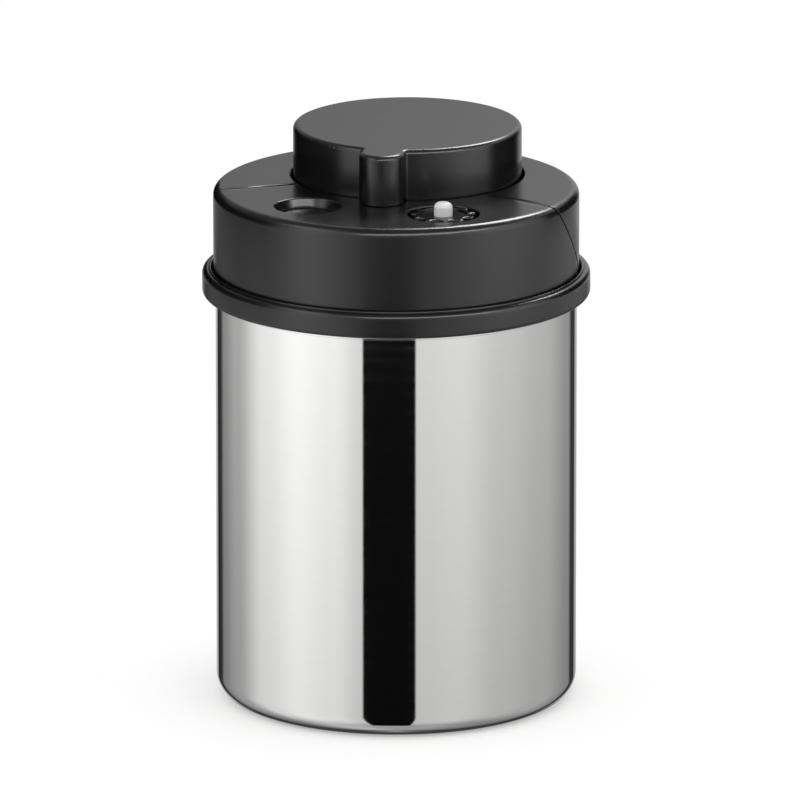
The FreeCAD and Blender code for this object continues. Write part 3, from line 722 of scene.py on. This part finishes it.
rim = bmesh.new()
draw_profile(
    rim,
    [
        (RIDGE_INNER, DECK_TOP + JOIN), (RIDGE_INNER, RIM_TOP), (RIDGE_OUTER, RIM_TOP),
        (RIDGE_OUTER, RIM_TOP - RIDGE_STEP), (RIM_RADIUS, RIM_TOP - RIDGE_STEP), (RIM_RADIUS, RIM_FOOT),
        (RIM_RADIUS - FOOT_ROUND - JOIN / 2, RIM_FOOT),
    ],
    {
        1: (RIDGE_ROUND, 4), 2: (RIDGE_ROUND, 4), 3: (RIDGE_FOOT, 3), 4: (RIM_ROUND, 10),
        5: (FOOT_ROUND, 8),
    },
)
spin_full(rim, 256)
turned = bpy.data.meshes.new("turned_rim")
rim.to_mesh(turned)
rim.free()
shape.from_mesh(turned)
bpy.data.meshes.remove(turned)
loose = [edge for edge in shape.edges if edge.is_boundary]
for low, high in ((0.0, RIM_FOOT + JOIN), (DECK_TOP - JOIN, 1.0)):
    pair = [edge for edge in loose if all(low < v.co.z < high for v in edge.verts)]
    bmesh.ops.bridge_loops(shape, edges=pair)
bmesh.ops.recalc_face_normals(shape, faces=shape.faces)
print("open edges left:", sum(edge.is_boundary for edge in shape.edges))
lid_base = link_piece("lid_base_moulded", shape)
smooth_piece(lid_base)
stand_in(lid_base, "lid_base", "lid", "black_plastic", satin_black)

# %% [markdown]
# ## The seam between the covers
#
# Two moulded edges never meet in a knife line: each is rounded a little, and the pair reads as a dark line
# with a faint glint beside it. A merged copy of each cover has its seam edges bevelled. They are found by
# what they are: sharp edges that lie on the cover's outer skin, on the wall or on the round shoulder above
# it. On the flat top the seam stays as fine as CAD made it.

# %% Covers with softened seam edges
COVER_RADIUS = 58.65 * MM
COVER_TOP = 168.0 * MM
COVER_FOOT = 135.5 * MM
COVER_ROUND = 2.8 * MM
SEAM_SOFT = 0.18 * MM
SHARP = math.radians(30)
NEAR = 0.03 * MM


def on_skin(spot):
    """True where a point lies on the wall or the shoulder of the covers."""
    across = spot.xy.length - (COVER_RADIUS - COVER_ROUND)
    up = max(spot.z - (COVER_TOP - COVER_ROUND), 0.0)
    return across > -NEAR and abs(math.hypot(across, up) - COVER_ROUND) < NEAR


for name in ("front_cover", "rear_cover"):
    shape = merged(name)
    sharp = [edge for edge in shape.edges if edge.calc_face_angle(0.0) > SHARP]
    seam = [
        edge for edge in sharp
        if all(on_skin(v.co) for v in edge.verts) and max(v.co.z for v in edge.verts) > COVER_FOOT + NEAR
    ]
    bmesh.ops.bevel(
        shape, geom=seam, offset=SEAM_SOFT, segments=2, profile=0.5, affect="EDGES", material=-1,
        clamp_overlap=False,
    )
    cover = link_piece(name + "_moulded", shape)
    smooth_piece(cover)
    stand_in(cover, name, "lid", "black_plastic", satin_black)
    print(name, "seam edges", len(seam))

# %% [markdown]
# ## The knob's edge
#
# A hand pulls the knob up by its top edge, so the mould gives that edge an easy round, and the round draws a
# bright line right along the knob. CAD's round is a little too tight for that line. It is widened on a merged
# copy: every point of the round moves down and inwards by the same factor, and a quarter circle stays one.

# %% Knob with an easier edge
KNOB_TOP = 184.4 * MM
KNOB_CAD_ROUND = 1.1 * MM
KNOB_ROUND = 1.7 * MM


def widen_round(shape, top, old, new, inside=lambda spot: False):
    """Widens the quarter round along a top edge; points inside another edge of that top stay."""
    shape.normal_update()
    growth = new / old - 1.0
    moves = {}
    for vert in shape.verts:
        drop = top - vert.co.z
        outward = Vector((vert.normal.x, vert.normal.y, 0.0))
        if drop < old + NEAR and outward.length > 0.01 and not inside(vert.co):
            rise = max(1.0 - drop / old, 0.0)
            inset = old * (1.0 - math.sqrt(max(1.0 - rise * rise, 0.0)))
            moves[vert] = (outward.normalized() * inset + Vector((0.0, 0.0, drop))) * -growth
    for vert, move in moves.items():
        vert.co += move
    print("points moved", len(moves))


shape = merged("pump_knob")
widen_round(shape, KNOB_TOP, KNOB_CAD_ROUND, KNOB_ROUND)
# the triangles of the flat top become one face, so that its whole edge shades alike
flat_top = [face for face in shape.faces if all(KNOB_TOP - v.co.z < MERGE for v in face.verts)]
bmesh.ops.dissolve_faces(shape, faces=flat_top)
knob = link_piece("pump_knob_moulded", shape)
smooth_piece(knob)
stand_in(knob, "pump_knob", "pump", "black_plastic", satin_black)

# %% [markdown]
# ## The indicator's nut
#
# A scalloped nut holds the indicator's diaphragm down, and a thumb and a finger turn it. Its gloss shows as a
# row of glints along the lobes, which need rounds that are wide enough to catch the lamps. The round outside
# is widened in the same way as the knob's, and the sharp edge of the shallow dish inside is bevelled. The
# dish's floor is shaded flat, because its long thin triangles would show as streaks.

# %% Nut with bright edges
NUT_CAD_ROUND = 0.35 * MM
NUT_ROUND = 0.65 * MM
DISH_RADIUS = 7.6 * MM
DISH_SOFT = 0.12 * MM
UPRIGHT = math.radians(60)
FLAT = 0.9999

nut_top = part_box("indicator_nut")[1].z
pin_low, pin_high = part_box("indicator_pin")
nut_axis = pin_low.lerp(pin_high, 0.5).xy


def in_dish(spot):
    """True for points on the edge of the nut's dish, or inside it."""
    return (spot.xy - nut_axis).length < DISH_RADIUS + NEAR


shape = merged("indicator_nut")
widen_round(shape, nut_top, NUT_CAD_ROUND, NUT_ROUND, in_dish)
dish_edge = [
    edge for edge in shape.edges
    if edge.calc_face_angle(0.0) > UPRIGHT
    and all(in_dish(v.co) and nut_top - v.co.z < NEAR for v in edge.verts)
]
bmesh.ops.bevel(
    shape, geom=dish_edge, offset=DISH_SOFT, segments=2, profile=0.5, affect="EDGES", material=-1,
    clamp_overlap=False,
)
nut = link_piece("indicator_nut_scalloped", shape)
smooth_piece(nut)
for face in nut.data.polygons:
    if face.normal.z > FLAT and nut_top - face.center.z > NEAR:
        face.use_smooth = False
stand_in(nut, "indicator_nut", "lid", "black_plastic", gloss_black)
print("dish edges", len(dish_edge))

# %% [markdown]
# ## Seals of silicone
#
# Three soft seals show when the lid is off or seen from below. The main gasket is a ring with two thin lips
# that bend against the can's wall. The inlet valve is an umbrella: a thin disc that lies over the vent holes,
# held by a stem with a barb. The release plug is a small cone that closes its hole from below. CAD keeps them
# plain, so each is turned here from its own section, with the thin lips and soft corners that silicone has.

# %% Soft seals
KNOB_AXIS = (0.0, 17.275 * MM)
RELEASE_AXIS = (-21.989 * MM, -32.346 * MM)
LIP_ROUND = 0.16 * MM
UMBRELLA_ROUND = 0.18 * MM
PLUG_ROUND = 0.2 * MM


def turn_seal(name, points, corner, axis=(0.0, 0.0), closed=False):
    """A silicone piece turned about an upright axis; points are (radius, height) in millimetres."""
    shape = bmesh.new()
    soft = range(len(points)) if closed else range(1, len(points) - 1)
    outline = [(radius * MM, height * MM) for radius, height in points]
    draw_profile(shape, outline, {index: (corner, 4) for index in soft}, closed)
    spin_full(shape, 128)
    bmesh.ops.translate(shape, verts=shape.verts, vec=(*axis, 0.0))
    seal = link_piece(name, shape)
    smooth_piece(seal)
    return seal


gasket = turn_seal(
    "main_gasket_lipped",
    [
        (54.6, 123.6), (56.2, 123.6), (57.0, 124.9), (56.2, 125.2), (56.2, 126.9), (57.0, 127.9),
        (56.2, 128.6), (54.6, 128.6),
    ],
    LIP_ROUND, closed=True,
)
stand_in(gasket, "main_gasket", "lid", "silicone", silicone)
umbrella = turn_seal(
    "inlet_valve_umbrella",
    [
        (0.0, 96.1), (2.0, 96.1), (3.0, 97.6), (3.0, 99.1), (2.0, 99.1), (2.0, 101.6), (8.0, 101.6),
        (8.0, 102.1), (2.2, 102.8), (0.0, 102.8),
    ],
    UMBRELLA_ROUND, KNOB_AXIS,
)
stand_in(umbrella, "inlet_valve", "lid", "silicone", silicone)
plug = turn_seal(
    "release_plug_cone",
    [(2.5, 130.8), (6.5, 131.9), (6.5, 133.0), (2.5, 133.0)],
    PLUG_ROUND, RELEASE_AXIS, closed=True,
)
stand_in(plug, "release_plug", "release", "silicone", silicone)

# %% [markdown]
# ## Screws with a cross recess
#
# Pan-head screws hold the covers and the pump cylinder from below. A head starts as a small grid of nine
# faces. The five that form a cross are pushed in and tapered, as the punch does that forges the recess. The
# grid's edge is bridged to a circle, and that circle is drawn down over the head's round shoulder and along
# the shank.

# %% Screws
HEAD_RADIUS = 2.6 * MM
HEAD_HEIGHT = 1.8 * MM
CROWN_RADIUS = 1.9 * MM
SHANK_RADIUS = 1.25 * MM
TIP_LENGTH = 0.8 * MM
TIP_SHARE = 0.4
RECESS_HALF = 1.35 * MM
RECESS_DEPTH = 0.9 * MM
RECESS_TAPER = 0.72


def add_screw(shape, place, seat, length):
    """One screw with its head below the seat and its shank upwards, at an (x, y) place."""
    ring = bmesh.ops.create_circle(shape, segments=24, radius=CROWN_RADIUS)["verts"]
    grid = bmesh.ops.create_grid(shape, x_segments=3, y_segments=3, size=RECESS_HALF)["verts"]
    made = [*ring, *grid]
    cells = {face for vert in grid for face in vert.link_faces}
    cross = [face for face in cells if min(abs(v) for v in face.calc_center_median().xy) < RECESS_HALF / 4]
    outer = [edge for vert in (*grid, *ring) for edge in vert.link_edges if len(edge.link_faces) < 2]
    bmesh.ops.bridge_loops(shape, edges=list(dict.fromkeys(outer)))
    pushed = bmesh.ops.extrude_face_region(shape, geom=cross)["geom"]
    bmesh.ops.delete(shape, geom=cross, context="FACES")
    deep = [item for item in pushed if isinstance(item, bmesh.types.BMVert)]
    bmesh.ops.scale(shape, verts=deep, vec=(RECESS_TAPER, RECESS_TAPER, 1.0))
    bmesh.ops.translate(shape, verts=deep, vec=(0.0, 0.0, RECESS_DEPTH))
    made += deep
    loop = [edge for edge in {e for v in ring for e in v.link_edges} if edge.is_boundary]
    radius = CROWN_RADIUS
    for wide, rise in (
        (HEAD_RADIUS - 0.2 * MM, 0.25 * MM), (HEAD_RADIUS, 0.75 * MM), (HEAD_RADIUS, HEAD_HEIGHT),
        (SHANK_RADIUS, HEAD_HEIGHT), (SHANK_RADIUS, HEAD_HEIGHT + length - TIP_LENGTH),
        (TIP_SHARE * SHANK_RADIUS, HEAD_HEIGHT + length),
    ):
        drawn = bmesh.ops.extrude_edge_only(shape, edges=loop)["geom"]
        fresh = [item for item in drawn if isinstance(item, bmesh.types.BMVert)]
        loop = [item for item in drawn if isinstance(item, bmesh.types.BMEdge)]
        loop = [edge for edge in loop if all(v in set(fresh) for v in edge.verts)]
        bmesh.ops.scale(shape, verts=fresh, vec=(wide / radius, wide / radius, 1.0))
        bmesh.ops.translate(shape, verts=fresh, vec=(0.0, 0.0, rise - fresh[0].co.z))
        made += fresh
        radius = wide
    bmesh.ops.holes_fill(shape, edges=loop, sides=0)
    bmesh.ops.translate(shape, verts=made, vec=(*place, seat - HEAD_HEIGHT))


def screw_set(name, places, seat, length):
    """Several alike screws as one piece."""
    shape = bmesh.new()
    for place in places:
        add_screw(shape, place, seat, length)
    bmesh.ops.recalc_face_normals(shape, faces=shape.faces)
    screws = link_piece(name, shape)
    smooth_piece(screws, 40.0)
    return screws


def on_ring(radius, degrees, axis=(0.0, 0.0)):
    """Places on a circle; 0 degrees is the front."""
    turns = [math.radians(turn) for turn in degrees]
    return [(axis[0] + radius * math.sin(turn), axis[1] - radius * math.cos(turn)) for turn in turns]


cover_bosses = on_ring(48.5 * MM, (-95, -57, 57, 95))
covers_held = screw_set("cover_screws_crossed", cover_bosses, seat=133.1 * MM, length=11.4 * MM)
stand_in(covers_held, "cover_screws", "lid", "steel_hardware", hardware)
cylinder_bosses = on_ring(24.725 * MM, (45, 135, 225, 315), KNOB_AXIS)
cylinder_held = screw_set("cylinder_screws_crossed", cylinder_bosses, seat=130.1 * MM, length=11.95 * MM)
stand_in(cylinder_held, "cylinder_screws", "lid", "steel_hardware", hardware)

# %% [markdown]
# ## Parts that give way
#
# Two coil springs and a diaphragm sit between the lid and what a finger or the vacuum pushes down. A
# cold-wound wire spring shortens evenly, and the diaphragm's rim is clamped to the lid while its hub goes
# down with the pin. Each of the three is a merged copy of its CAD mesh, shaded smooth, in its rest shape.

for node, joint in (("release_spring", "release_press"), ("indicator_spring", "indicator_drop")):
    low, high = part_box(node)
    spring = link_piece(node + "_wound", merged(node))
    smooth_piece(spring)
    stand_in(spring, node, "lid", "steel_hardware", hardware)
    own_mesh(spring)

low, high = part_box("indicator_diaphragm")
diaphragm = link_piece("indicator_diaphragm_cone", merged("indicator_diaphragm"))
smooth_piece(diaphragm)
diaphragm.data.materials.append(silicone)
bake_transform(diaphragm)
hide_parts("indicator_diaphragm")

# %% [markdown]
# ## The rest keeps its CAD mesh
#
# Pieces that CAD already hands over well, or that hardly show, keep their mesh and only get a finish: the
# release button and the white pin on top, the cylinder that hangs under the lid, and what works inside it.

# %% Dress the CAD pieces
dress = [
    (satin_black, ["pump_cylinder", "release_button"]),
    (white_abs, ["indicator_pin"]),
    (natural_acetal, ["rod_bush", "piston_rod", "piston"]),
    (silicone, ["cylinder_gasket", "piston_seal"]),
    (hardware, ["rod_screws", "piston_screw", "release_clip"]),
]
for material, names in dress:
    for name in names:
        for slot in nodes[name].material_slots:
            slot.material = material
print("dressed", sum(len(names) for _, names in dress), "CAD pieces")
